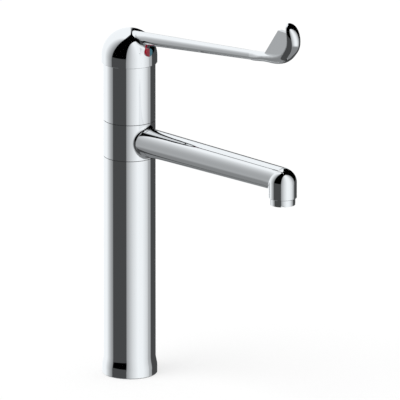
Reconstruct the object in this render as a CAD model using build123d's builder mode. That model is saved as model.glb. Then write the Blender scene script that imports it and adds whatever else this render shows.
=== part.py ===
from build123d import *

import os
from math import cos, radians, sin, tan

# Elbow lever tap: a tall pillar basin mixer with a swivelling spout and a long surgeon's lever.
# Millimetres. +Z is up, +X runs along the spout and the lever, the origin is the middle of the foot.
# Hot water is on the -Y side and cold on the +Y side, left and right of a person at the spout.

os.makedirs("parts", exist_ok=True)

# Shared allowances
overrun = 1.0
running_gap = 0.05
seat_gap = 0.05
seal_gap = 0.02
half_turn_angle = 180.0

# Column and foot
column_radius = 25.0
column_height = 216.95
column_wall = 3.5
collar_height = 12.0
foot_radius = 26.5
foot_band_height = 7.0
foot_flare_height = 11.0
foot_chamfer = 0.6

# Base plate that takes the two hoses and the two fixing studs
plate_recess = 3.6
plate_height = 16.4
plate_ledge = 1.0
inlet_spacing = 16.0
inlet_radius = 4.5
inlet_depth = 10.0
stud_spacing = 28.0
stud_hole_radius = 3.4
stud_hole_depth = 12.0

# Spring ring that holds the base plate up in the foot
clip_thickness = 1.5
clip_groove_depth = 1.0
clip_width = 3.0
clip_opening = 7.0

# Flat seal between the foot and the deck
deck_seal_width = 1.6
deck_seal_height = 1.35
deck_seal_radius = 24.5

# Riser pipes and their seals
riser_radius = 4.0
riser_wall = 1.0
plate_socket_depth = 6.0
spigot_socket_depth = 8.0
riser_seal_section = 1.1
riser_seal_drop = 3.0

# Swivel ring of the spout, between two slide rings
slide_ring_thickness = 0.5
slide_ring_inset = 0.4
spout_ring_height = 35.3

# Spout tube and outlet
spout_reach = 209.7
tube_root_radius = 14.0
tube_end_radius = 11.8
tube_fillet = 3.5
waterway_radius = 9.0
outlet_radius = 13.5
outlet_ball_drop = 2.3
outlet_drop = 17.65
outlet_fillet = 3.0
outlet_bore_radius = 11.5
outlet_bore_depth = 9.5
outlet_chamfer = 0.5

# Aerator
aerator_collar_radius = 12.1
aerator_collar_height = 6.5
aerator_thread_height = 7.4
aerator_wall = 1.9
aerator_lip = 1.0
aerator_lip_height = 0.8
aerator_insert_height = 11.0
aerator_notch = 1.6
aerator_seal_height = 2.0
aerator_seal_width = 2.6

# Valve body
neck_radius = 17.0
spigot_radius = 16.0
spigot_depth = 20.0
body_height = 56.65
body_chamfer = 0.4
channel_radius = 3.0
mixed_channel_radius = 3.0
mixed_channel_offset = 1.8
cross_channel_radius = 3.6
gallery_height = 12.0
gallery_depth = 3.0
spout_seal_section = 1.9
spout_seal_inset = 5.6

# Stop pin of the spout and its curved slot
stop_pin_radius = 1.5
stop_pin_circle = 21.0
stop_pin_hold = 6.0
stop_pin_reach = 3.5
stop_slot_clearance = 0.2
stop_slot_floor = 0.5
swing_angle = 70.0
stop_margin_angle = 1.0

# Lever pivot inside the valve body
pivot_drop = 10.0
pivot_pin_radius = 1.5
pivot_pin_length = 22.0
ball_reach = 13.5
ball_radius = 2.8
lift_angle = 25.0
turn_angle = 50.0

# Ceramic discs and the carrier that slides with the upper one
disc_gap = 0.02
fixed_disc_radius = 15.4
fixed_disc_height = 4.0
moving_disc_radius = 12.4
moving_disc_height = 3.98
disc_inlet_x = 5.0
disc_inlet_y = 5.5
disc_inlet_radius = 2.2
mixing_pocket_length = 10.0
mixing_pocket_width = 13.0
mixing_pocket_depth = 2.2
mixing_pocket_offset = 0.1
mixing_pocket_round = 3.0
carrier_radius = 12.2
carrier_floor = 1.2
carrier_disc_height = 4.3
carrier_guide_length = 14.0
carrier_guide_width = 12.0
carrier_guide_height = 2.5
ball_play = 0.5
carrier_gap = 0.2

# Cartridge base, housing and its port seals
base_radius = 17.4
base_height = 4.0
base_gallery_depth = 2.0
port_seal_width = 0.9
port_seal_height = 0.9
housing_radius = 17.5
housing_wall = 1.7
housing_neck_radius = 14.4
housing_neck_height = 4.0
chamber_radius = 17.6
stop_wall_height = 2.9
stop_wall_width = 1.4

# Stem carrier that turns with the lever, and its limit ring
rotor_radius = 12.0
rotor_flange_radius = 15.5
rotor_flange_height = 4.5
rotor_rise = 8.0
rotor_shoulder_gap = 0.2
slot_gap = 0.1
slot_end_play = 0.25
limit_ring_width = 0.8
limit_ring_height = 2.8
limit_lug_reach = 1.4
limit_lug_angle = 18.0

# Cartridge nut and the cover under the hub
nut_radius = 20.0
nut_depth = 11.0
nut_height = 8.0
nut_wall_gap = 0.1
nut_notch_width = 3.2
nut_notch_depth = 2.0
cover_radius = 23.6
cover_thickness = 1.4
cover_opening_radius = 13.0
cover_skirt_width = 1.3
cover_chamfer = 0.7

# Spindle
stem_side = 8.0
stem_length = 29.0
stem_foot = 5.5
stem_shank_radius = 3.0
stem_neck_radius = 1.9
stem_chamfer = 0.4

# Hub of the lever
hub_radius = 26.8
hub_skirt_height = 6.5
hub_wall = 1.3
hub_ceiling = 20.0
hub_chamfer = 0.35
stem_boss_radius = 8.6
stem_boss_start = 14.6
screw_boss_radius = 5.2
socket_spare = 0.3

# Grub screw and the two halves of the temperature mark
mark_height = 14.5
grub_radius = 2.5
grub_length = 8.0
grub_key = 2.5
grub_key_depth = 2.4
mark_radius = 4.1
mark_length = 7.0
mark_face = 27.9
mark_chamfer = 0.4

# Rod of the lever
rod_root_rise = 25.4
rod_root_radius = 6.43
rod_end_radius = 4.6
rod_end_x = 168.0
rod_angle = 5.0
rod_fillet = 4.0

# Paddle at the end of the rod: a half-round flange round a flat web
paddle_bend_x = 204.4
paddle_bend_radius = 20.0
paddle_half_width = 7.6
paddle_face_swell = 0.5
paddle_tip_angle = 44.0
paddle_neck_steps = 3
# Round the bend: share of the turn, of the half width and of the depth, up to the pointed tip
paddle_bend_shares = (
    (0.19, 1.00, 0.93),
    (0.38, 1.00, 0.93),
    (0.57, 1.00, 1.00),
    (0.72, 1.00, 0.80),
    (0.83, 0.93, 0.58),
    (0.92, 0.74, 0.32),
)
web_thickness = 5.0
web_bite = 2.0
web_start_x = 184.0
web_top_x = 205.5
web_top_height = 72.3
web_end_angle = 11.0
web_round = 2.5

# Heights that follow from the stack of pieces
column_bore_radius = column_radius - column_wall
plate_bore_radius = column_bore_radius + plate_ledge
plate_top = plate_recess + plate_height
spigot_bottom = column_height - spigot_depth
spout_bottom = column_height + slide_ring_thickness + running_gap
spout_top = spout_bottom + spout_ring_height
spout_axis = (spout_bottom + spout_top) / 2
body_bottom = spout_top + running_gap + slide_ring_thickness
body_top = body_bottom + body_height
pivot_height = body_top - pivot_drop
nut_seat = body_top - nut_depth
nut_top = nut_seat + nut_height
outlet_bottom = spout_axis - outlet_drop
outlet_ball_height = spout_axis - outlet_ball_drop

# The spindle leans forward by half the lift, so that the discs travel evenly about the middle
lean = lift_angle / 2
disc_offset = ball_reach * sin(radians(lean))
carrier_bottom = pivot_height - ball_reach - ball_radius - ball_play - carrier_floor
moving_disc_bottom = carrier_bottom - moving_disc_height
fixed_disc_top = moving_disc_bottom - disc_gap
fixed_disc_bottom = fixed_disc_top - fixed_disc_height
chamber_floor = fixed_disc_bottom - base_height
rotor_bottom = carrier_bottom + carrier_disc_height + carrier_gap
rotor_flange_top = rotor_bottom + rotor_flange_height
housing_shoulder = rotor_flange_top + rotor_shoulder_gap
housing_top = nut_seat + housing_neck_height
rotor_top = pivot_height + rotor_rise

# Planes of the leaning spindle: one across it, and one along it that holds the spindle's profile
lean_sin = sin(radians(lean))
lean_cos = cos(radians(lean))
pivot_point = (0, 0, pivot_height)
stem_plane = Plane(origin=pivot_point, x_dir=(lean_cos, 0, -lean_sin), z_dir=(lean_sin, 0, lean_cos))
stem_profile_plane = Plane(origin=pivot_point, x_dir=(lean_cos, 0, -lean_sin), z_dir=(0, -1, 0))
stem_axis = Axis(pivot_point, (lean_sin, 0, lean_cos))

# Water ports: hot on the -Y side, cold on the +Y side
port_y = inlet_spacing / 2

# Seal grooves, square like the seals
riser_groove = riser_seal_section + seal_gap
spout_groove = spout_seal_section + seal_gap


# Column with its foot, open below for the base plate and closed in above by a thick collar
with BuildPart() as column:
    with BuildSketch(Plane.XZ):
        with BuildLine():
            foot_edge = Polyline((0, 0), (foot_radius - foot_chamfer, 0), (foot_radius, foot_chamfer))
            foot_band = Line(foot_edge @ 1, (foot_radius, foot_band_height))
            flare_top = (column_radius, foot_band_height + foot_flare_height)
            flare = Spline(foot_band @ 1, flare_top, tangents=((0, 1), (0, 1)))
            Polyline(flare @ 1, (column_radius, column_height), (0, column_height), (0, 0))
        make_face()
    revolve(axis=Axis.Z)
    # Bore, and the wider recess for the base plate
    with BuildSketch(Plane.XY):
        Circle(column_bore_radius)
    extrude(amount=column_height - collar_height, mode=Mode.SUBTRACT)
    with BuildSketch(Plane.XY):
        Circle(plate_bore_radius)
    extrude(amount=plate_top, mode=Mode.SUBTRACT)
    # Groove of the spring ring
    with BuildSketch(Plane.XY.offset(plate_recess)):
        Circle(plate_bore_radius + clip_groove_depth)
    extrude(amount=-(clip_thickness + seat_gap), mode=Mode.SUBTRACT)
    # Groove of the deck seal
    with BuildSketch(Plane.XY):
        Circle(deck_seal_radius + deck_seal_width / 2 + seat_gap)
        Circle(deck_seal_radius - deck_seal_width / 2 - seat_gap, mode=Mode.SUBTRACT)
    extrude(amount=deck_seal_height, mode=Mode.SUBTRACT)
    # Bore of the collar for the valve body's spigot
    with BuildSketch(Plane.XY.offset(column_height)):
        Circle(spigot_radius + seat_gap)
    extrude(amount=-(collar_height + overrun), mode=Mode.SUBTRACT)
column.part.label = "column"
export_step(column.part, "parts/column.step")


# Flat seal under the foot
with BuildPart() as deck_seal:
    with BuildSketch(Plane.XY):
        Circle(deck_seal_radius + deck_seal_width / 2)
        Circle(deck_seal_radius - deck_seal_width / 2, mode=Mode.SUBTRACT)
    extrude(amount=deck_seal_height)
deck_seal.part.label = "deck_seal"
export_step(deck_seal.part, "parts/deck_seal.step")


# Base plate: two hose inlets below, two riser sockets above and two stud holes
with BuildPart() as base_plate:
    with BuildSketch(Plane.XY.offset(plate_recess)):
        Circle(plate_bore_radius - seat_gap)
    extrude(amount=plate_height)
    with BuildSketch(Plane.XY.offset(plate_recess)):
        with GridLocations(0, inlet_spacing, 1, 2):
            Circle(inlet_radius)
    extrude(amount=inlet_depth, mode=Mode.SUBTRACT)
    with BuildSketch(Plane.XY.offset(plate_recess)):
        with GridLocations(0, inlet_spacing, 1, 2):
            Circle(channel_radius)
    extrude(amount=plate_height, mode=Mode.SUBTRACT)
    with BuildSketch(Plane.XY.offset(plate_top)):
        with GridLocations(0, inlet_spacing, 1, 2):
            Circle(riser_radius + seat_gap)
    extrude(amount=-plate_socket_depth, mode=Mode.SUBTRACT)
    with BuildSketch(Plane.XY.offset(plate_top - riser_seal_drop - riser_groove / 2)):
        with GridLocations(0, inlet_spacing, 1, 2):
            Circle(riser_radius + riser_groove)
    extrude(amount=riser_groove, mode=Mode.SUBTRACT)
    with BuildSketch(Plane.XY.offset(plate_recess)):
        with GridLocations(stud_spacing, 0, 2, 1):
            Circle(stud_hole_radius)
    extrude(amount=stud_hole_depth, mode=Mode.SUBTRACT)
base_plate.part.label = "base_plate"
export_step(base_plate.part, "parts/base_plate.step")


# Open spring ring under the base plate
with BuildPart() as plate_clip:
    with BuildSketch(Plane.XY.offset(plate_recess)):
        clip_outer = plate_bore_radius + clip_groove_depth - seat_gap
        Circle(clip_outer)
        Circle(clip_outer - clip_width, mode=Mode.SUBTRACT)
        with Locations((-clip_outer + clip_width / 2, 0)):
            Rectangle(2 * clip_width, clip_opening, mode=Mode.SUBTRACT)
    extrude(amount=-clip_thickness)
plate_clip.part.label = "plate_clip"
export_step(plate_clip.part, "parts/plate_clip.step")


# Riser pipes from the base plate up into the valve body's spigot
riser_bottom = plate_top - plate_socket_depth
riser_top = spigot_bottom + spigot_socket_depth

with BuildPart() as hot_riser:
    with BuildSketch(Plane.XY.offset(riser_bottom)):
        with Locations((0, -port_y)):
            Circle(riser_radius)
            Circle(riser_radius - riser_wall, mode=Mode.SUBTRACT)
    extrude(amount=riser_top - riser_bottom)
hot_riser.part.label = "hot_riser"
export_step(hot_riser.part, "parts/hot_riser.step")

with BuildPart() as cold_riser:
    with BuildSketch(Plane.XY.offset(riser_bottom)):
        with Locations((0, port_y)):
            Circle(riser_radius)
            Circle(riser_radius - riser_wall, mode=Mode.SUBTRACT)
    extrude(amount=riser_top - riser_bottom)
cold_riser.part.label = "cold_riser"
export_step(cold_riser.part, "parts/cold_riser.step")


# Four ring seals, one at each end of each riser
with BuildPart() as riser_seals:
    lower_seal_height = plate_top - riser_seal_drop
    upper_seal_height = spigot_bottom + riser_seal_drop
    for seal_height in (lower_seal_height, upper_seal_height):
        with BuildSketch(Plane.XY.offset(seal_height - riser_seal_section / 2)):
            with GridLocations(0, inlet_spacing, 1, 2):
                Circle(riser_radius + riser_seal_section)
                Circle(riser_radius, mode=Mode.SUBTRACT)
        extrude(amount=riser_seal_section)
riser_seals.part.label = "riser_seals"
export_step(riser_seals.part, "parts/riser_seals.step")


# Valve body: spigot in the column, neck that the spout turns on, and the upper barrel
with BuildPart() as valve_body:
    with BuildSketch(Plane.XY.offset(spigot_bottom)):
        Circle(spigot_radius)
    extrude(amount=spigot_depth)
    with BuildSketch(Plane.XY.offset(column_height)):
        Circle(neck_radius)
    extrude(amount=body_bottom - column_height)
    with BuildSketch(Plane.XY.offset(body_bottom)):
        Circle(column_radius)
    extrude(amount=body_height)
    chamfer(valve_body.edges().group_by(Axis.Z)[-1], length=body_chamfer)
    # Chamber for the cartridge, and the wider bore for its nut
    with BuildSketch(Plane.XY.offset(chamber_floor)):
        Circle(chamber_radius)
    extrude(amount=body_height, mode=Mode.SUBTRACT)
    with BuildSketch(Plane.XY.offset(nut_seat)):
        Circle(nut_radius)
    extrude(amount=body_height, mode=Mode.SUBTRACT)
    # Two inlet channels with riser sockets
    with BuildSketch(Plane.XY.offset(spigot_bottom)):
        with GridLocations(0, inlet_spacing, 1, 2):
            Circle(channel_radius)
    extrude(amount=chamber_floor - spigot_bottom, mode=Mode.SUBTRACT)
    with BuildSketch(Plane.XY.offset(spigot_bottom)):
        with GridLocations(0, inlet_spacing, 1, 2):
            Circle(riser_radius + seat_gap)
    extrude(amount=spigot_socket_depth, mode=Mode.SUBTRACT)
    with BuildSketch(Plane.XY.offset(spigot_bottom + riser_seal_drop - riser_groove / 2)):
        with GridLocations(0, inlet_spacing, 1, 2):
            Circle(riser_radius + riser_groove)
    extrude(amount=riser_groove, mode=Mode.SUBTRACT)
    # Mixed water: down from the chamber, across the neck, and out into the gallery
    with BuildSketch(Plane.XY.offset(chamber_floor)):
        with Locations((-mixed_channel_offset, 0)):
            Circle(mixed_channel_radius)
    extrude(amount=spout_axis - chamber_floor, mode=Mode.SUBTRACT)
    with BuildSketch(Plane.YZ.offset(-neck_radius)):
        with Locations((0, spout_axis)):
            Circle(cross_channel_radius)
    extrude(amount=2 * neck_radius, mode=Mode.SUBTRACT)
    with BuildSketch(Plane.XY.offset(spout_axis - gallery_height / 2)):
        Circle(neck_radius + overrun)
        Circle(neck_radius - gallery_depth, mode=Mode.SUBTRACT)
    extrude(amount=gallery_height, mode=Mode.SUBTRACT)
    # Seal grooves above and below the gallery
    for seal_height in (spout_bottom + spout_seal_inset, spout_top - spout_seal_inset):
        with BuildSketch(Plane.XY.offset(seal_height - spout_groove / 2)):
            Circle(neck_radius + overrun)
            Circle(neck_radius - spout_groove, mode=Mode.SUBTRACT)
        extrude(amount=spout_groove, mode=Mode.SUBTRACT)
    # Blind hole of the spout's stop pin
    with BuildSketch(Plane.XY.offset(body_bottom)):
        with Locations((-stop_pin_circle, 0)):
            Circle(stop_pin_radius)
    extrude(amount=stop_pin_hold, mode=Mode.SUBTRACT)
valve_body.part.label = "valve_body"
export_step(valve_body.part, "parts/valve_body.step")


# Slide rings below and above the spout, the upper one holed for the stop pin
with BuildPart() as lower_slide_ring:
    with BuildSketch(Plane.XY.offset(column_height)):
        Circle(column_radius - slide_ring_inset)
        Circle(neck_radius + seat_gap, mode=Mode.SUBTRACT)
    extrude(amount=slide_ring_thickness)
lower_slide_ring.part.label = "lower_slide_ring"
export_step(lower_slide_ring.part, "parts/lower_slide_ring.step")

with BuildPart() as upper_slide_ring:
    with BuildSketch(Plane.XY.offset(body_bottom)):
        Circle(column_radius - slide_ring_inset)
        Circle(neck_radius + seat_gap, mode=Mode.SUBTRACT)
        with Locations((-stop_pin_circle, 0)):
            Circle(stop_pin_radius + seat_gap, mode=Mode.SUBTRACT)
    extrude(amount=-slide_ring_thickness)
upper_slide_ring.part.label = "upper_slide_ring"
export_step(upper_slide_ring.part, "parts/upper_slide_ring.step")


# Ring seals in the neck, square in section
with BuildPart() as lower_spout_seal:
    with BuildSketch(Plane.XY.offset(spout_bottom + spout_seal_inset - spout_seal_section / 2)):
        Circle(neck_radius)
        Circle(neck_radius - spout_seal_section, mode=Mode.SUBTRACT)
    extrude(amount=spout_seal_section)
lower_spout_seal.part.label = "lower_spout_seal"
export_step(lower_spout_seal.part, "parts/lower_spout_seal.step")

with BuildPart() as upper_spout_seal:
    with BuildSketch(Plane.XY.offset(spout_top - spout_seal_inset - spout_seal_section / 2)):
        Circle(neck_radius)
        Circle(neck_radius - spout_seal_section, mode=Mode.SUBTRACT)
    extrude(amount=spout_seal_section)
upper_spout_seal.part.label = "upper_spout_seal"
export_step(upper_spout_seal.part, "parts/upper_spout_seal.step")


# Stop pin, held in the valve body and hanging into the spout's curved slot
with BuildPart() as spout_stop_pin:
    with BuildSketch(Plane.XY.offset(body_bottom - stop_pin_reach)):
        with Locations((-stop_pin_circle, 0)):
            Circle(stop_pin_radius)
    extrude(amount=stop_pin_reach + stop_pin_hold)
spout_stop_pin.part.label = "spout_stop_pin"
export_step(spout_stop_pin.part, "parts/spout_stop_pin.step")


# Spout: swivel ring, tapering tube and the outlet turned down at its end
tube_plane = Plane(origin=(0, 0, spout_axis), x_dir=(1, 0, 0), z_dir=(0, -1, 0))
outlet_plane = Plane(origin=(spout_reach, 0, 0), x_dir=(1, 0, 0), z_dir=(0, -1, 0))
outlet_axis = Axis((spout_reach, 0, 0), (0, 0, 1))

with BuildPart() as spout:
    with BuildSketch(Plane.XY.offset(spout_bottom)):
        Circle(column_radius)
    extrude(amount=spout_ring_height)
    with BuildSketch(tube_plane):
        Polygon(
            (0, 0),
            (spout_reach, 0),
            (spout_reach, tube_end_radius),
            (0, tube_root_radius),
            align=None,
        )
    revolve(axis=Axis((0, 0, spout_axis), (1, 0, 0)))
    fillet(spout.edges(Select.NEW), radius=tube_fillet)
    # Outlet: a ball on a short upright cylinder
    with BuildSketch(outlet_plane):
        with BuildLine():
            outlet_side = Line((outlet_radius, outlet_bottom), (outlet_radius, outlet_ball_height))
            outlet_dome = RadiusArc(outlet_side @ 1, (0, outlet_ball_height + outlet_radius), -outlet_radius)
            Polyline(outlet_dome @ 1, (0, outlet_bottom), outlet_side @ 0)
        make_face()
    revolve(axis=outlet_axis)
    fillet(spout.edges(Select.NEW).sort_by(Axis.Z)[0], radius=outlet_fillet)
    outlet_rim = spout.faces().filter_by(Plane.XY).sort_by(Axis.Z)[0].edges()
    chamfer(outlet_rim, length=outlet_chamfer)
    # Waterway along the tube and down to the outlet
    with BuildSketch(tube_plane):
        with BuildLine():
            way_top = Line((0, waterway_radius), (spout_reach, waterway_radius))
            way_end = RadiusArc(way_top @ 1, (spout_reach + waterway_radius, 0), waterway_radius)
            Polyline(way_end @ 1, (0, 0), way_top @ 0)
        make_face()
    revolve(axis=Axis((0, 0, spout_axis), (1, 0, 0)), mode=Mode.SUBTRACT)
    with BuildSketch(Plane.XY.offset(outlet_bottom)):
        with Locations((spout_reach, 0)):
            Circle(waterway_radius)
    extrude(amount=outlet_drop, mode=Mode.SUBTRACT)
    with BuildSketch(Plane.XY.offset(outlet_bottom)):
        with Locations((spout_reach, 0)):
            Circle(outlet_bore_radius)
    extrude(amount=outlet_bore_depth, mode=Mode.SUBTRACT)
    # Bore that turns on the neck, and the curved slot of the stop pin
    with BuildSketch(Plane.XY.offset(spout_bottom)):
        Circle(neck_radius + running_gap)
    extrude(amount=spout_ring_height, mode=Mode.SUBTRACT)
    with BuildSketch(Plane.XY.offset(spout_top)):
        stop_spread = swing_angle + stop_margin_angle
        stop_start = half_turn_angle - stop_spread
        stop_arc = CenterArc((0, 0), stop_pin_circle, stop_start, 2 * stop_spread, mode=Mode.PRIVATE)
        SlotArc(stop_arc, 2 * (stop_pin_radius + stop_slot_clearance))
    extrude(amount=-(stop_pin_reach + stop_slot_floor), mode=Mode.SUBTRACT)
spout.part.label = "spout"
export_step(spout.part, "parts/spout.step")


# Aerator housing: a collar with key notches below, a threaded barrel above
aerator_barrel_radius = outlet_bore_radius - seat_gap
aerator_bore_radius = outlet_bore_radius - aerator_wall
aerator_bottom = outlet_bottom - aerator_collar_height

with BuildPart() as aerator_housing:
    with BuildSketch(Plane.XY.offset(aerator_bottom)):
        with Locations((spout_reach, 0)):
            Circle(aerator_collar_radius)
    extrude(amount=aerator_collar_height)
    with BuildSketch(Plane.XY.offset(outlet_bottom)):
        with Locations((spout_reach, 0)):
            Circle(aerator_barrel_radius)
    extrude(amount=aerator_thread_height)
    with BuildSketch(Plane.XY.offset(aerator_bottom + aerator_lip_height)):
        with Locations((spout_reach, 0)):
            Circle(aerator_bore_radius)
    extrude(amount=aerator_collar_height + aerator_thread_height, mode=Mode.SUBTRACT)
    with BuildSketch(Plane.XY.offset(aerator_bottom)):
        with Locations((spout_reach, 0)):
            Circle(aerator_bore_radius - aerator_lip)
    extrude(amount=aerator_collar_height, mode=Mode.SUBTRACT)
    with BuildSketch(Plane.XY.offset(aerator_bottom)):
        with Locations((spout_reach, 0)):
            with PolarLocations(aerator_collar_radius, 4, start_angle=45):
                Rectangle(2 * aerator_notch, 2 * aerator_notch)
    extrude(amount=aerator_notch, mode=Mode.SUBTRACT)
aerator_housing.part.label = "aerator_housing"
export_step(aerator_housing.part, "parts/aerator_housing.step")


# Aerator insert, seated on the housing's lip
with BuildPart() as aerator_insert:
    with BuildSketch(Plane.XY.offset(aerator_bottom + aerator_lip_height)):
        with Locations((spout_reach, 0)):
            Circle(aerator_bore_radius - seat_gap)
    extrude(amount=aerator_insert_height)
aerator_insert.part.label = "aerator_insert"
export_step(aerator_insert.part, "parts/aerator_insert.step")


# Washer above the aerator, against the end of the outlet's bore
with BuildPart() as aerator_seal:
    with BuildSketch(Plane.XY.offset(outlet_bottom + aerator_thread_height)):
        with Locations((spout_reach, 0)):
            Circle(outlet_bore_radius - seat_gap)
            Circle(outlet_bore_radius - aerator_seal_width, mode=Mode.SUBTRACT)
    extrude(amount=aerator_seal_height)
aerator_seal.part.label = "aerator_seal"
export_step(aerator_seal.part, "parts/aerator_seal.step")


# Cartridge base: round ports below, widened above towards the ports of the fixed disc
with BuildPart() as cartridge_base:
    with BuildSketch(Plane.XY.offset(chamber_floor)):
        Circle(base_radius)
    extrude(amount=base_height)
    with BuildSketch(Plane.XY.offset(chamber_floor)):
        with GridLocations(0, inlet_spacing, 1, 2):
            Circle(channel_radius)
        with Locations((-mixed_channel_offset, 0)):
            Circle(mixed_channel_radius)
    extrude(amount=base_height, mode=Mode.SUBTRACT)
    with BuildSketch(Plane.XY.offset(fixed_disc_bottom)):
        for side in (-1, 1):
            port_bridge = Line((0, side * port_y), (disc_inlet_x, side * disc_inlet_y), mode=Mode.PRIVATE)
            SlotArc(port_bridge, 2 * disc_inlet_radius)
    extrude(amount=-base_gallery_depth, mode=Mode.SUBTRACT)
    with BuildSketch(Plane.XY.offset(chamber_floor)):
        with Locations((0, -port_y), (0, port_y), (-mixed_channel_offset, 0)):
            Circle(channel_radius + port_seal_width + seat_gap)
    extrude(amount=port_seal_height, mode=Mode.SUBTRACT)
cartridge_base.part.label = "cartridge_base"
export_step(cartridge_base.part, "parts/cartridge_base.step")


# Ring seals under the three ports of the cartridge base
with BuildPart() as port_seals:
    with BuildSketch(Plane.XY.offset(chamber_floor)):
        with Locations((0, -port_y), (0, port_y), (-mixed_channel_offset, 0)):
            Circle(channel_radius + port_seal_width)
            Circle(channel_radius, mode=Mode.SUBTRACT)
    extrude(amount=port_seal_height)
port_seals.part.label = "port_seals"
export_step(port_seals.part, "parts/port_seals.step")


# Cartridge housing: a barrel with an inner shoulder, a neck and the stop wall of the limit ring
with BuildPart() as cartridge_housing:
    with BuildSketch(Plane.XY.offset(fixed_disc_bottom)):
        Circle(housing_radius)
    extrude(amount=nut_seat - fixed_disc_bottom)
    with BuildSketch(Plane.XY.offset(nut_seat)):
        Circle(housing_neck_radius)
    extrude(amount=housing_neck_height + stop_wall_height)
    with BuildSketch(Plane.XY.offset(fixed_disc_bottom)):
        Circle(housing_radius - housing_wall)
    extrude(amount=housing_shoulder - fixed_disc_bottom, mode=Mode.SUBTRACT)
    with BuildSketch(Plane.XY.offset(housing_shoulder)):
        Circle(rotor_radius + running_gap)
    extrude(amount=housing_top + stop_wall_height - housing_shoulder, mode=Mode.SUBTRACT)
    # The limit ring turns on top of the neck, and its lug swings in the gap of the stop wall
    with BuildSketch(Plane.XY.offset(housing_top)):
        Circle(housing_neck_radius - stop_wall_width)
    extrude(amount=stop_wall_height, mode=Mode.SUBTRACT)
    with BuildSketch(Plane.XY.offset(housing_top)):
        gap_spread = turn_angle + limit_lug_angle + stop_margin_angle
        gap_reach = 2 * housing_neck_radius
        with BuildLine():
            gap_arc = CenterArc((0, 0), gap_reach, -gap_spread, 2 * gap_spread)
            Polyline(gap_arc @ 1, (0, 0), gap_arc @ 0)
        make_face()
    extrude(amount=stop_wall_height, mode=Mode.SUBTRACT)
cartridge_housing.part.label = "cartridge_housing"
export_step(cartridge_housing.part, "parts/cartridge_housing.step")


# Fixed ceramic disc with two inlet ports and one outlet port
with BuildPart() as fixed_disc:
    with BuildSketch(Plane.XY.offset(fixed_disc_bottom)):
        Circle(fixed_disc_radius)
        with Locations((disc_inlet_x, -disc_inlet_y), (disc_inlet_x, disc_inlet_y)):
            Circle(disc_inlet_radius, mode=Mode.SUBTRACT)
        with Locations((-mixed_channel_offset, 0)):
            Circle(mixed_channel_radius, mode=Mode.SUBTRACT)
    extrude(amount=fixed_disc_height)
fixed_disc.part.label = "fixed_disc"
export_step(fixed_disc.part, "parts/fixed_disc.step")


# Moving ceramic disc, shown closed, with the mixing pocket in its underside
with BuildPart() as moving_disc:
    with BuildSketch(Plane.XY.offset(moving_disc_bottom)):
        with Locations((-disc_offset, 0)):
            Circle(moving_disc_radius)
    extrude(amount=moving_disc_height)
    with BuildSketch(Plane.XY.offset(moving_disc_bottom)):
        with Locations((-disc_offset - mixing_pocket_offset, 0)):
            RectangleRounded(mixing_pocket_length, mixing_pocket_width, mixing_pocket_round)
    extrude(amount=mixing_pocket_depth, mode=Mode.SUBTRACT)
moving_disc.part.label = "moving_disc"
export_step(moving_disc.part, "parts/moving_disc.step")


# Disc carrier: it slides in the stem carrier's channel, pushed by the ball of the spindle
with BuildPart() as disc_carrier:
    with BuildSketch(Plane.XY.offset(carrier_bottom)):
        with Locations((-disc_offset, 0)):
            Circle(carrier_radius)
    extrude(amount=carrier_disc_height)
    with BuildSketch(Plane.XY.offset(carrier_bottom + carrier_disc_height)):
        with Locations((-disc_offset, 0)):
            Rectangle(carrier_guide_length, carrier_guide_width)
    extrude(amount=carrier_guide_height)
    with BuildSketch(Plane.XY.offset(carrier_bottom + carrier_floor)):
        with Locations((-disc_offset, 0)):
            Circle(ball_radius + running_gap)
    extrude(amount=carrier_disc_height + carrier_guide_height, mode=Mode.SUBTRACT)
disc_carrier.part.label = "disc_carrier"
export_step(disc_carrier.part, "parts/disc_carrier.step")


# Stem carrier: turns in the housing, slotted for the spindle and channelled for the disc carrier
with BuildPart() as stem_carrier:
    with BuildSketch(Plane.XY.offset(rotor_bottom)):
        Circle(rotor_flange_radius)
    extrude(amount=rotor_flange_height)
    with BuildSketch(Plane.XY.offset(rotor_bottom)):
        Circle(rotor_radius)
    extrude(amount=rotor_top - rotor_bottom)
    with BuildSketch(Plane.XY.offset(rotor_bottom)):
        Rectangle(2 * (rotor_flange_radius + overrun), carrier_guide_width + 2 * slot_gap)
    extrude(amount=carrier_guide_height, mode=Mode.SUBTRACT)
    with BuildSketch(Plane.XY.offset(rotor_bottom)):
        slot_reach = (rotor_rise + stem_side / 2 * lean_sin) / lean_cos * lean_sin
        slot_half = stem_side / 2 * lean_cos + slot_reach + slot_end_play
        Rectangle(2 * slot_half, stem_side + 2 * slot_gap)
    extrude(amount=rotor_top - rotor_bottom, mode=Mode.SUBTRACT)
    with BuildSketch(Plane.XZ.offset(-rotor_radius)):
        with Locations((0, pivot_height)):
            Circle(pivot_pin_radius)
    extrude(amount=2 * rotor_radius, mode=Mode.SUBTRACT)
stem_carrier.part.label = "stem_carrier"
export_step(stem_carrier.part, "parts/stem_carrier.step")


# Pivot pin across the stem carrier
with BuildPart() as pivot_pin:
    with BuildSketch(Plane.XZ.offset(-pivot_pin_length / 2)):
        with Locations((0, pivot_height)):
            Circle(pivot_pin_radius)
    extrude(amount=pivot_pin_length)
pivot_pin.part.label = "pivot_pin"
export_step(pivot_pin.part, "parts/pivot_pin.step")


# Limit ring: its lug meets the housing's stop wall at full hot and full cold
with BuildPart() as limit_ring:
    with BuildSketch(Plane.XY.offset(housing_top + running_gap)):
        Circle(rotor_radius + limit_ring_width)
        with BuildLine():
            lug_arc = CenterArc((0, 0), rotor_radius + limit_ring_width + limit_lug_reach,
                                -limit_lug_angle, 2 * limit_lug_angle)
            Polyline(lug_arc @ 1, (0, 0), lug_arc @ 0)
        make_face()
        Circle(rotor_radius, mode=Mode.SUBTRACT)
    extrude(amount=limit_ring_height)
limit_ring.part.label = "limit_ring"
export_step(limit_ring.part, "parts/limit_ring.step")


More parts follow.
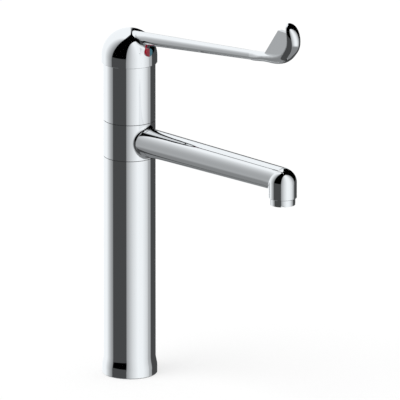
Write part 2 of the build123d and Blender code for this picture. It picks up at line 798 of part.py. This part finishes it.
# Nut that holds the cartridge down, notched for its key
with BuildPart() as cartridge_nut:
    with BuildSketch(Plane.XY.offset(nut_seat)):
        Circle(nut_radius - seat_gap)
        Circle(housing_neck_radius + nut_wall_gap, mode=Mode.SUBTRACT)
    extrude(amount=nut_height)
    with BuildSketch(Plane.XY.offset(nut_top)):
        with PolarLocations(housing_neck_radius, 6):
            Rectangle(2 * nut_notch_depth, nut_notch_width)
    extrude(amount=-nut_notch_depth, mode=Mode.SUBTRACT)
cartridge_nut.part.label = "cartridge_nut"
export_step(cartridge_nut.part, "parts/cartridge_nut.step")


# Cover ring on top of the valve body, with a skirt down to the nut
with BuildPart() as cartridge_cover:
    with BuildSketch(Plane.XY.offset(body_top)):
        Circle(cover_radius)
    extrude(amount=cover_thickness)
    chamfer(cartridge_cover.edges().group_by(Axis.Z)[-1], length=cover_chamfer)
    with BuildSketch(Plane.XY.offset(nut_top)):
        Circle(nut_radius - seat_gap)
    extrude(amount=body_top - nut_top)
    with BuildSketch(Plane.XY.offset(nut_top)):
        Circle(nut_radius - seat_gap - cover_skirt_width)
    extrude(amount=body_top - nut_top, mode=Mode.SUBTRACT)
    with BuildSketch(Plane.XY.offset(body_top)):
        Circle(cover_opening_radius)
    extrude(amount=cover_thickness, mode=Mode.SUBTRACT)
cartridge_cover.part.label = "cartridge_cover"
export_step(cartridge_cover.part, "parts/cartridge_cover.step")


# Spindle: square above, round below the pivot, with a ball at its foot
with BuildPart() as spindle:
    with BuildSketch(stem_profile_plane):
        with BuildLine():
            ball_side = (ball_radius**2 - stem_neck_radius**2) ** 0.5
            shank_end = -stem_foot - stem_neck_radius
            shank = Polyline((0, 0), (stem_shank_radius, 0), (stem_shank_radius, shank_end))
            neck = Polyline(shank @ 1, (stem_neck_radius, -ball_reach + ball_side + stem_neck_radius),
                            (stem_neck_radius, -ball_reach + ball_side))
            ball = ThreePointArc(neck @ 1, (ball_radius, -ball_reach), (0, -ball_reach - ball_radius))
            Line(ball @ 1, (0, 0))
        make_face()
    revolve(axis=stem_axis)
    with BuildSketch(stem_plane.offset(-stem_foot)):
        RectangleRounded(stem_side, stem_side, stem_chamfer)
    extrude(amount=stem_foot + stem_length)
    with BuildSketch(Plane.XZ.offset(-stem_side)):
        with Locations((0, pivot_height)):
            Circle(pivot_pin_radius + running_gap)
    extrude(amount=2 * stem_side, mode=Mode.SUBTRACT)
spindle.part.label = "spindle"
export_step(spindle.part, "parts/spindle.step")


# Places on the lever that follow from the hub, the rod and the paddle
hub_centre = body_top + hub_skirt_height
mark_level = body_top + mark_height
rod_sin = sin(radians(rod_angle))
rod_cos = cos(radians(rod_angle))
rod_origin = (0, 0, body_top + rod_root_rise)
rod_plane = Plane(origin=rod_origin, x_dir=(rod_cos, 0, rod_sin), z_dir=(0, -1, 0))
rod_axis = Axis(rod_origin, (rod_cos, 0, rod_sin))
rod_length = rod_end_x / rod_cos
bend_run = paddle_bend_x / rod_cos
bend_rise = rod_end_radius - paddle_face_swell + paddle_bend_radius
bend_centre = rod_plane.from_local_coords((bend_run, bend_rise, 0))
bend_start_angle = rod_angle - 90


# Cross sections of the paddle: two half ellipses each, the crown outward and the flat face inward.
# The first ones follow the rod and widen, the others turn up round the bend and shrink to the tip.
paddle_sections = []
paddle_depth = 2 * rod_end_radius - paddle_face_swell

for step in range(paddle_neck_steps + 1):
    way = step / paddle_neck_steps
    ease = way * way * (3 - 2 * way)
    run = rod_length + way * (bend_run - rod_length)
    swell = rod_end_radius + ease * (paddle_face_swell - rod_end_radius)
    half_width = rod_end_radius + ease * (paddle_half_width - rod_end_radius)
    crown_depth = 2 * rod_end_radius - swell
    section_point = rod_plane.from_local_coords((run, rod_end_radius - swell, 0))
    with BuildSketch(Plane(origin=section_point, x_dir=(0, 1, 0), z_dir=(-rod_cos, 0, -rod_sin))) as section:
        with BuildLine():
            EllipticalCenterArc((0, 0), half_width, crown_depth, 0, arc_size=half_turn_angle)
            EllipticalCenterArc((0, 0), half_width, swell, half_turn_angle, arc_size=half_turn_angle)
        make_face()
    paddle_sections.append(section.sketch)

for turn_share, width_share, depth_share in paddle_bend_shares:
    turn = radians(bend_start_angle + turn_share * (paddle_tip_angle - bend_start_angle))
    outward = Vector(cos(turn), 0, sin(turn))
    half_width = width_share * paddle_half_width
    face_swell = width_share * paddle_face_swell
    section_point = bend_centre + outward * paddle_bend_radius
    section_plane = Plane(origin=section_point, x_dir=(0, 1, 0), z_dir=(sin(turn), 0, -cos(turn)))
    with BuildSketch(section_plane) as section:
        with BuildLine():
            EllipticalCenterArc((0, 0), half_width, depth_share * paddle_depth, 0, arc_size=half_turn_angle)
            EllipticalCenterArc((0, 0), half_width, face_swell, half_turn_angle, arc_size=half_turn_angle)
        make_face()
    paddle_sections.append(section.sketch)

tip_turn = radians(paddle_tip_angle)
tip_point = bend_centre + Vector(cos(tip_turn), 0, sin(tip_turn)) * paddle_bend_radius


# Hollow of the hub, less the boss of the spindle and the boss of the grub screw
with BuildPart() as hub_hollow:
    hollow_radius = hub_radius - hub_wall
    ceiling_radius = (hollow_radius**2 - (hub_ceiling - hub_skirt_height) ** 2) ** 0.5
    with BuildSketch(Plane.XZ):
        with BuildLine():
            hollow_side = Line((hollow_radius, body_top - overrun), (hollow_radius, hub_centre))
            hollow_dome = RadiusArc(hollow_side @ 1, (ceiling_radius, body_top + hub_ceiling), -hollow_radius)
            Polyline(hollow_dome @ 1, (0, body_top + hub_ceiling), (0, body_top - overrun), hollow_side @ 0)
        make_face()
    revolve(axis=Axis.Z)
    with BuildSketch(stem_plane.offset(stem_boss_start)):
        Circle(stem_boss_radius)
    extrude(amount=hub_radius, mode=Mode.SUBTRACT)
    with BuildSketch(Plane.YZ):
        with Locations((0, mark_level)):
            Circle(screw_boss_radius)
    extrude(amount=hub_radius, mode=Mode.SUBTRACT)


# Lever: one casting of the domed hub, the tapering rod and the paddle
with BuildPart() as lever:
    with BuildSketch(Plane.XZ):
        with BuildLine():
            rim_edge = (hub_radius - hub_chamfer, body_top)
            rim = Polyline((0, body_top), rim_edge, (hub_radius, body_top + hub_chamfer))
            hub_side = Line(rim @ 1, (hub_radius, hub_centre))
            hub_dome = RadiusArc(hub_side @ 1, (0, hub_centre + hub_radius), -hub_radius)
            Line(hub_dome @ 1, (0, body_top))
        make_face()
    revolve(axis=Axis.Z)
    # Rod, rounded into the dome
    with BuildSketch(rod_plane):
        Polygon((0, 0), (rod_length, 0), (rod_length, rod_end_radius), (0, rod_root_radius), align=None)
    revolve(axis=rod_axis)
    fillet(lever.edges(Select.NEW), radius=rod_fillet)
    # Paddle: the flange that turns up, and the flat web inside it
    loft(sections=[*paddle_sections, Vertex(*tip_point)])
    with BuildSketch(Plane.XZ.offset(-web_thickness / 2)):
        with BuildLine():
            web_reach = paddle_bend_radius + web_bite
            web_turn = web_end_angle - bend_start_angle
            web_arc = CenterArc((bend_centre.X, bend_centre.Z), web_reach, bend_start_angle, web_turn)
            web_start_height = body_top + rod_root_rise + web_start_x * tan(radians(rod_angle))
            Polyline(
                web_arc @ 1,
                (web_top_x, body_top + web_top_height),
                (web_start_x, web_start_height),
                web_arc @ 0,
            )
        make_face()
        fillet(vertices().sort_by(Axis.Z)[-1], radius=web_round)
    extrude(amount=web_thickness)
    # Hollow of the hub, the socket of the spindle, and the way in for the grub screw and the mark
    add(hub_hollow.part, mode=Mode.SUBTRACT)
    with BuildSketch(stem_plane.offset(stem_boss_start)):
        Rectangle(stem_side + 2 * seat_gap, stem_side + 2 * seat_gap)
    extrude(amount=stem_length + socket_spare - stem_boss_start, mode=Mode.SUBTRACT)
    with BuildSketch(Plane.YZ):
        with Locations((0, mark_level)):
            Circle(grub_radius)
    extrude(amount=mark_face, mode=Mode.SUBTRACT)
    with BuildSketch(Plane.YZ.offset(mark_face - mark_length)):
        with Locations((0, mark_level)):
            Circle(mark_radius + seat_gap)
    extrude(amount=mark_length, mode=Mode.SUBTRACT)
lever.part.label = "lever"
export_step(lever.part, "parts/lever.step")


# Grub screw: its tip meets the leaning front of the spindle
with BuildPart() as grub_screw:
    stem_front_height = pivot_drop + mark_height + grub_radius
    grub_tip_x = (stem_side / 2 + stem_front_height * lean_sin) / lean_cos + seat_gap
    with BuildSketch(Plane.YZ.offset(grub_tip_x)):
        with Locations((0, mark_level)):
            Circle(grub_radius - seat_gap)
    extrude(amount=grub_length)
    with BuildSketch(Plane.YZ.offset(grub_tip_x + grub_length)):
        with Locations((0, mark_level)):
            RegularPolygon(grub_key / 2, 6, major_radius=False)
    extrude(amount=-grub_key_depth, mode=Mode.SUBTRACT)
grub_screw.part.label = "grub_screw"
export_step(grub_screw.part, "parts/grub_screw.step")


# Temperature mark: a round plug of two halves, hot on the -Y side and cold on the +Y side
with BuildPart() as hot_mark:
    with BuildSketch(Plane.YZ.offset(mark_face - mark_length)):
        with Locations((0, mark_level)):
            Circle(mark_radius)
    extrude(amount=mark_length)
    chamfer(hot_mark.edges().group_by(Axis.X)[-1], length=mark_chamfer)
    split(bisect_by=Plane.XZ.offset(seal_gap / 2), keep=Keep.TOP)
hot_mark.part.label = "hot_mark"
export_step(hot_mark.part, "parts/hot_mark.step")

with BuildPart() as cold_mark:
    with BuildSketch(Plane.YZ.offset(mark_face - mark_length)):
        with Locations((0, mark_level)):
            Circle(mark_radius)
    extrude(amount=mark_length)
    chamfer(cold_mark.edges().group_by(Axis.X)[-1], length=mark_chamfer)
    split(bisect_by=Plane.XZ.offset(-seal_gap / 2), keep=Keep.BOTTOM)
cold_mark.part.label = "cold_mark"
export_step(cold_mark.part, "parts/cold_mark.step")
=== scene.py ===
import math

import bpy
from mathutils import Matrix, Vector

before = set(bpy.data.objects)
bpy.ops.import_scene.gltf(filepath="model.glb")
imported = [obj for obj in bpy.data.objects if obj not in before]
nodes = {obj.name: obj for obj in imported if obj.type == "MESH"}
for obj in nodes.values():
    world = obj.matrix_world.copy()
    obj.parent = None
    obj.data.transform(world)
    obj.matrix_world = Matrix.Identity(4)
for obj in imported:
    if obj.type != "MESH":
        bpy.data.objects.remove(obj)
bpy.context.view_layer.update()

scene = bpy.context.scene

# The photograph's camera: a very long lens, a little above the deck and round from the side.
# The lens is in millimetres and everything else in metres.
CAMERA_AZIMUTH = math.radians(45.71)
CAMERA_ELEVATION = math.radians(16.0)
CAMERA_DISTANCE = 17.622
CAMERA_LENS = 1650.0
CAMERA_CLIP = (0.1, 100.0)
CAMERA_TARGET = Vector((0.0, 0.0, 0.17))
CAMERA_SIDE_STEP = 0.06766
CAMERA_UP_STEP = 0.00194

# How pale the studio's walls are that the metal reflects, at angles in degrees from the camera's side.
# Two black flags stand between them.
STUDIO_WALLS = (
    (-180, 1.00),
    (-120, 1.00),
    (-90, 0.44),
    (-77, 0.25),
    (-75.5, 0.00),
    (-14, 0.00),
    (-12, 0.34),
    (14, 0.76),
    (36, 1.00),
    (58, 0.98),
    (76, 0.80),
    (92, 0.47),
    (104, 0.38),
    (106, 0.00),
    (178, 0.00),
    (180, 1.00),
)
STUDIO_TINT = (0.965, 1.0, 1.025, 1.0)
# How far the walls lean with height, along and across the camera's view
STUDIO_LEAN = (-0.13, -0.05)
# The two flags are the ends of one band, which joins over the top: its edges in degrees, how wide it is
# up there, how soft its edges are, and the heights between which it takes over from the walls
BAND_EDGES = (-75.0, -14.0)
BAND_NECK = 0.06
BAND_BLUR = 0.006
BAND_HEIGHTS = (0.15, 0.35)
# Below the horizon the flags get a faint glow from the floor, and further down comes the grey ground
FLAG_GLOW = 0.068
GLOW_HEIGHTS = (-0.02, -0.07)
GROUND_GREY = 0.25
GROUND_HEIGHTS = (-0.34, -0.57)
# The plain light that falls on matt surfaces
SOFT_LIGHT = 0.7
WHITE = (1.0, 1.0, 1.0, 1.0)

# The lamp gives the floor its shadow, and the metal doesn't show it
LAMP_STRENGTH = 1.1
LAMP_SPREAD = math.radians(40)
LAMP_TURN = (math.radians(24), math.radians(-20), math.radians(20))

FLOOR_REACH = 30.0
FLOOR_DROP = 0.0002
FLOOR_GREY = (0.4, 0.4, 0.4, 1.0)
FLOOR_GLOW = 0.62

NOISE_DETAIL = 3.0
COAT_ROUGHNESS = 0.05

# The aerator's screen: the pitch of its square cells, the ribs between them, and how soft a cell's edge is
# as a share of the pitch
SCREEN_CELL = 0.0016
SCREEN_RIB = 0.0005
SCREEN_BLUR = 0.08
# The painted shade put into the screen's cells, in place of the dark inside seen through them
SCREEN_HOLE_SHADE = (0.02, 0.02, 0.022, 1.0)

level_back = Vector((math.sin(CAMERA_AZIMUTH), -math.cos(CAMERA_AZIMUTH), 0.0))
level_right = Vector((math.cos(CAMERA_AZIMUTH), math.sin(CAMERA_AZIMUTH), 0.0))


def add_camera():
    back = level_back * math.cos(CAMERA_ELEVATION)
    back.z = math.sin(CAMERA_ELEVATION)
    up = back.cross(level_right)
    aim = CAMERA_TARGET + level_right * CAMERA_SIDE_STEP + up * CAMERA_UP_STEP
    camera = bpy.data.objects.new("camera", bpy.data.cameras.new("camera"))
    scene.collection.objects.link(camera)
    camera.data.lens = CAMERA_LENS
    camera.data.clip_start, camera.data.clip_end = CAMERA_CLIP
    camera.location = aim + back * CAMERA_DISTANCE
    camera.rotation_mode = "QUATERNION"
    camera.rotation_quaternion = (-back).to_track_quat("-Z", "Y")
    scene.camera = camera


def feed(tree, value, socket):
    """Link another node's output to a socket, or set the socket to a plain value."""
    if isinstance(value, bpy.types.NodeSocket):
        tree.links.new(value, socket)
    else:
        socket.default_value = value


def add_node(tree, kind, inputs=None, **settings):
    """Add a node, make its settings, feed its inputs by name or number, and return its outputs."""
    node = tree.nodes.new(kind)
    for name, value in settings.items():
        setattr(node, name, value)
    for name, value in (inputs or {}).items():
        feed(tree, value, node.inputs[name])
    return node.outputs


def math_node(tree, operation, first, second):
    return add_node(tree, "ShaderNodeMath", {0: first, 1: second}, operation=operation)[0]


def dot_node(tree, vector, direction):
    inputs = {0: vector, 1: direction}
    return add_node(tree, "ShaderNodeVectorMath", inputs, operation="DOT_PRODUCT")["Value"]


def smooth_step(tree, value, low, high):
    inputs = {"Value": value, "From Min": low, "From Max": high}
    return add_node(tree, "ShaderNodeMapRange", inputs, interpolation_type="SMOOTHSTEP")["Result"]


def mix_floats(tree, factor, first, second):
    return add_node(tree, "ShaderNodeMix", {0: factor, 2: first, 3: second}, data_type="FLOAT")[0]


def mix_colours(tree, factor, first, second):
    return add_node(tree, "ShaderNodeMix", {0: factor, 6: first, 7: second}, data_type="RGBA")[2]


def mix_shaders(tree, factor, first, second):
    return add_node(tree, "ShaderNodeMixShader", {0: factor, 1: first, 2: second})[0]


def background(tree, colour, strength):
    return add_node(tree, "ShaderNodeBackground", {"Color": colour, "Strength": strength})[0]


def wall_grey(tree, toward, across):
    turn = math_node(tree, "ARCTAN2", across, toward)
    share = math_node(tree, "ADD", math_node(tree, "DIVIDE", turn, math.tau), 0.5)
    walls = tree.nodes.new("ShaderNodeValToRGB")
    feed(tree, share, walls.inputs["Fac"])
    stops = walls.color_ramp.elements
    for stop, (_, grey) in zip(stops, (STUDIO_WALLS[0], STUDIO_WALLS[-1])):
        stop.color = (grey, grey, grey, 1.0)
    for degrees, grey in STUDIO_WALLS[1:-1]:
        stops.new(degrees / 360 + 0.5).color = (grey, grey, grey, 1.0)
    return walls.outputs["Color"]


def open_sky(tree, toward, across, height):
    """Nought on the band over the top and one elsewhere."""
    sides = []
    for degrees in BAND_EDGES:
        edge = math.radians(degrees)
        first = math_node(tree, "MULTIPLY", across, math.cos(edge))
        second = math_node(tree, "MULTIPLY", toward, math.sin(edge))
        sides.append(math_node(tree, "SUBTRACT", first, second))
    neck = math_node(tree, "POWER", math_node(tree, "MAXIMUM", height, 0.0), 2.0)
    neck = math_node(tree, "MULTIPLY", neck, BAND_NECK)
    outside = math_node(tree, "SUBTRACT", math_node(tree, "MULTIPLY", *sides), neck)
    beside = smooth_step(tree, outside, -BAND_BLUR, BAND_BLUR)
    return mix_floats(tree, smooth_step(tree, height, *BAND_HEIGHTS), 1.0, beside)


def studio_level(tree):
    """How bright the studio is in each direction."""
    direction = add_node(tree, "ShaderNodeTexCoord")["Generated"]
    toward = dot_node(tree, direction, (level_back.x, level_back.y, STUDIO_LEAN[0]))
    across = dot_node(tree, direction, (level_right.x, level_right.y, STUDIO_LEAN[1]))
    height = dot_node(tree, direction, (0.0, 0.0, 1.0))
    walls = wall_grey(tree, toward, across)
    walls = math_node(tree, "MULTIPLY", walls, open_sky(tree, toward, across, height))
    glow = math_node(tree, "MULTIPLY", smooth_step(tree, height, *GLOW_HEIGHTS), FLAG_GLOW)
    glowing = math_node(tree, "MAXIMUM", walls, glow)
    ground = math_node(tree, "MINIMUM", math_node(tree, "ADD", walls, FLAG_GLOW), GROUND_GREY)
    return mix_floats(tree, smooth_step(tree, height, *GROUND_HEIGHTS), glowing, ground)


def add_world():
    """White for the camera, the studio in every reflection and a plain soft light on what is matt."""
    world = bpy.data.worlds.new("studio")
    scene.world = world
    world.use_nodes = True
    tree = world.node_tree
    tree.nodes.clear()
    studio = background(tree, STUDIO_TINT, studio_level(tree))
    rays = add_node(tree, "ShaderNodeLightPath")
    lit = mix_shaders(tree, rays["Is Glossy Ray"], background(tree, WHITE, SOFT_LIGHT), studio)
    seen = mix_shaders(tree, rays["Is Camera Ray"], lit, background(tree, WHITE, 1.0))
    add_node(tree, "ShaderNodeOutputWorld", {"Surface": seen})


def add_lamp():
    lamp = bpy.data.objects.new("soft_lamp", bpy.data.lights.new("soft_lamp", "SUN"))
    scene.collection.objects.link(lamp)
    lamp.data.energy = LAMP_STRENGTH
    lamp.data.angle = LAMP_SPREAD
    lamp.rotation_euler = LAMP_TURN
    lamp.visible_glossy = False


def add_floor():
    mesh = bpy.data.meshes.new("floor")
    low, high = -FLOOR_REACH, FLOOR_REACH
    corners = [(low, low, 0), (high, low, 0), (high, high, 0), (low, high, 0)]
    mesh.from_pydata(corners, [], [(0, 1, 2, 3)])
    floor = bpy.data.objects.new("floor", mesh)
    scene.collection.objects.link(floor)
    floor.location.z = -FLOOR_DROP
    floor.visible_glossy = False
    material = bpy.data.materials.new("floor_white")
    material.use_nodes = True
    tree = material.node_tree
    tree.nodes.clear()
    matt = add_node(tree, "ShaderNodeBsdfDiffuse", {"Color": FLOOR_GREY})[0]
    seen = add_node(tree, "ShaderNodeLightPath")["Is Camera Ray"]
    strength = math_node(tree, "MULTIPLY", seen, FLOOR_GLOW)
    glow = add_node(tree, "ShaderNodeEmission", {"Strength": strength})[0]
    both = add_node(tree, "ShaderNodeAddShader", {0: matt, 1: glow})[0]
    add_node(tree, "ShaderNodeOutputMaterial", {"Surface": both})
    mesh.materials.append(material)


def noise(tree, place, scale, stretch):
    if stretch:
        place = add_node(tree, "ShaderNodeMapping", {"Scale": stretch, "Vector": place})[0]
    inputs = {"Scale": scale, "Detail": NOISE_DETAIL, "Vector": place}
    return add_node(tree, "ShaderNodeTexNoise", inputs)[0]


def finish_material(
    name, colour, metallic, roughness, shade, patch, grain, relief, stretch=None, coat=0.0
):
    """A finish with patches, lighter and darker by the share `shade` and about `patch` to the metre,
    which also vary its roughness between two values, and with a fine relief, `relief` metres high
    and about `grain` to the metre. `stretch` draws both out along an axis."""
    material = bpy.data.materials.new(name)
    material.use_nodes = True
    tree = material.node_tree
    shader = tree.nodes["Principled BSDF"]
    place = add_node(tree, "ShaderNodeTexCoord")["Object"]
    patches = noise(tree, place, patch, stretch)
    dark = tuple(c * (1 - shade) for c in colour) + (1.0,)
    light = tuple(min(1.0, c * (1 + shade)) for c in colour) + (1.0,)
    feed(tree, mix_colours(tree, patches, dark, light), shader.inputs["Base Color"])
    rough = {"Value": patches, "To Min": roughness[0], "To Max": roughness[1]}
    feed(tree, add_node(tree, "ShaderNodeMapRange", rough)["Result"], shader.inputs["Roughness"])
    bump = {"Strength": 1.0, "Distance": relief, "Height": noise(tree, place, grain, stretch)}
    feed(tree, add_node(tree, "ShaderNodeBump", bump)[0], shader.inputs["Normal"])
    shader.inputs["Metallic"].default_value = metallic
    shader.inputs["Coat Weight"].default_value = coat
    shader.inputs["Coat Roughness"].default_value = COAT_ROUGHNESS
    return material


def add_screen(material):
    """Paint shade into the square cells between the ribs of the aerator's screen, seen from below: the
    dark colour stands for the shade inside the aerator seen through the cells.
    """
    tree = material.node_tree
    base = tree.nodes["Principled BSDF"].inputs["Base Color"]
    place = add_node(tree, "ShaderNodeTexCoord")["Object"]
    flat = add_node(tree, "ShaderNodeMapping", {"Scale": (1.0, 1.0, 0.0), "Vector": place})[0]
    grid = {"Scale": 1 / SCREEN_CELL, "Randomness": 0.0, "Vector": flat}
    depth = add_node(tree, "ShaderNodeTexVoronoi", grid, feature="DISTANCE_TO_EDGE")["Distance"]
    rib_edge = SCREEN_RIB / SCREEN_CELL / 2
    # Painted shade: each cell darkens away from its ribs, as the aerator's shaded inside would show
    # through it
    hole_shade = smooth_step(tree, depth, rib_edge, rib_edge + SCREEN_BLUR)
    feed(tree, mix_colours(tree, hole_shade, base.links[0].from_socket, SCREEN_HOLE_SHADE), base)


chrome = finish_material(
    "polished_chrome", (0.895, 0.9, 0.905), metallic=1.0, roughness=(0.02, 0.045),
    shade=0.008, patch=25.0, grain=300.0, relief=2e-8,
)
brass = finish_material(
    "machined_brass", (0.78, 0.6, 0.32), metallic=1.0, roughness=(0.22, 0.38),
    shade=0.08, patch=60.0, grain=2500.0, relief=1e-6, stretch=(1, 1, 8),
)
steel = finish_material(
    "brushed_steel", (0.68, 0.68, 0.67), metallic=1.0, roughness=(0.2, 0.36),
    shade=0.06, patch=80.0, grain=2500.0, relief=1e-6, stretch=(1, 1, 8),
)
rubber = finish_material(
    "matt_rubber", (0.025, 0.025, 0.026), metallic=0.0, roughness=(0.6, 0.85),
    shade=0.15, patch=120.0, grain=5000.0, relief=1.5e-5,
)
dark_plastic = finish_material(
    "dark_plastic", (0.05, 0.05, 0.055), metallic=0.0, roughness=(0.35, 0.5),
    shade=0.1, patch=90.0, grain=4000.0, relief=6e-6,
)
grey_plastic = finish_material(
    "grey_plastic", (0.42, 0.43, 0.44), metallic=0.0, roughness=(0.35, 0.5),
    shade=0.05, patch=90.0, grain=4000.0, relief=6e-6,
)
white_plastic = finish_material(
    "white_plastic", (0.82, 0.82, 0.8), metallic=0.0, roughness=(0.32, 0.45),
    shade=0.03, patch=90.0, grain=4000.0, relief=5e-6,
)
ceramic = finish_material(
    "lapped_ceramic", (0.88, 0.87, 0.83), metallic=0.0, roughness=(0.12, 0.2),
    shade=0.02, patch=150.0, grain=6000.0, relief=1e-6,
)
red = finish_material(
    "red_enamel", (0.42, 0.008, 0.03), metallic=0.0, roughness=(0.2, 0.3),
    shade=0.06, patch=300.0, grain=3000.0, relief=2e-6, coat=0.4,
)
blue = finish_material(
    "blue_enamel", (0.05, 0.25, 0.33), metallic=0.0, roughness=(0.2, 0.3),
    shade=0.06, patch=300.0, grain=3000.0, relief=2e-6, coat=0.4,
)
screen = finish_material(
    "aerator_screen", (0.8, 0.8, 0.79), metallic=0.0, roughness=(0.32, 0.45),
    shade=0.03, patch=90.0, grain=4000.0, relief=5e-6,
)
add_screen(screen)

NODE_FINISHES = {
    "column": chrome,
    "valve_body": chrome,
    "spout": chrome,
    "lever": chrome,
    "cartridge_cover": chrome,
    "aerator_housing": chrome,
    "base_plate": brass,
    "cartridge_nut": brass,
    "plate_clip": steel,
    "hot_riser": steel,
    "cold_riser": steel,
    "spout_stop_pin": steel,
    "spindle": steel,
    "pivot_pin": steel,
    "grub_screw": steel,
    "deck_seal": rubber,
    "riser_seals": rubber,
    "lower_spout_seal": rubber,
    "upper_spout_seal": rubber,
    "aerator_seal": rubber,
    "port_seals": rubber,
    "lower_slide_ring": dark_plastic,
    "upper_slide_ring": dark_plastic,
    "cartridge_base": grey_plastic,
    "stem_carrier": grey_plastic,
    "disc_carrier": grey_plastic,
    "limit_ring": white_plastic,
    "cartridge_housing": white_plastic,
    "aerator_insert": screen,
    "fixed_disc": ceramic,
    "moving_disc": ceramic,
    "hot_mark": red,
    "cold_mark": blue,
}


def dress_nodes():
    for name, finish in NODE_FINISHES.items():
        materials = nodes[name].data.materials
        materials.clear()
        materials.append(finish)


add_camera()
add_world()
add_lamp()
add_floor()
dress_nodes()

scene.view_settings.view_transform = "Standard"
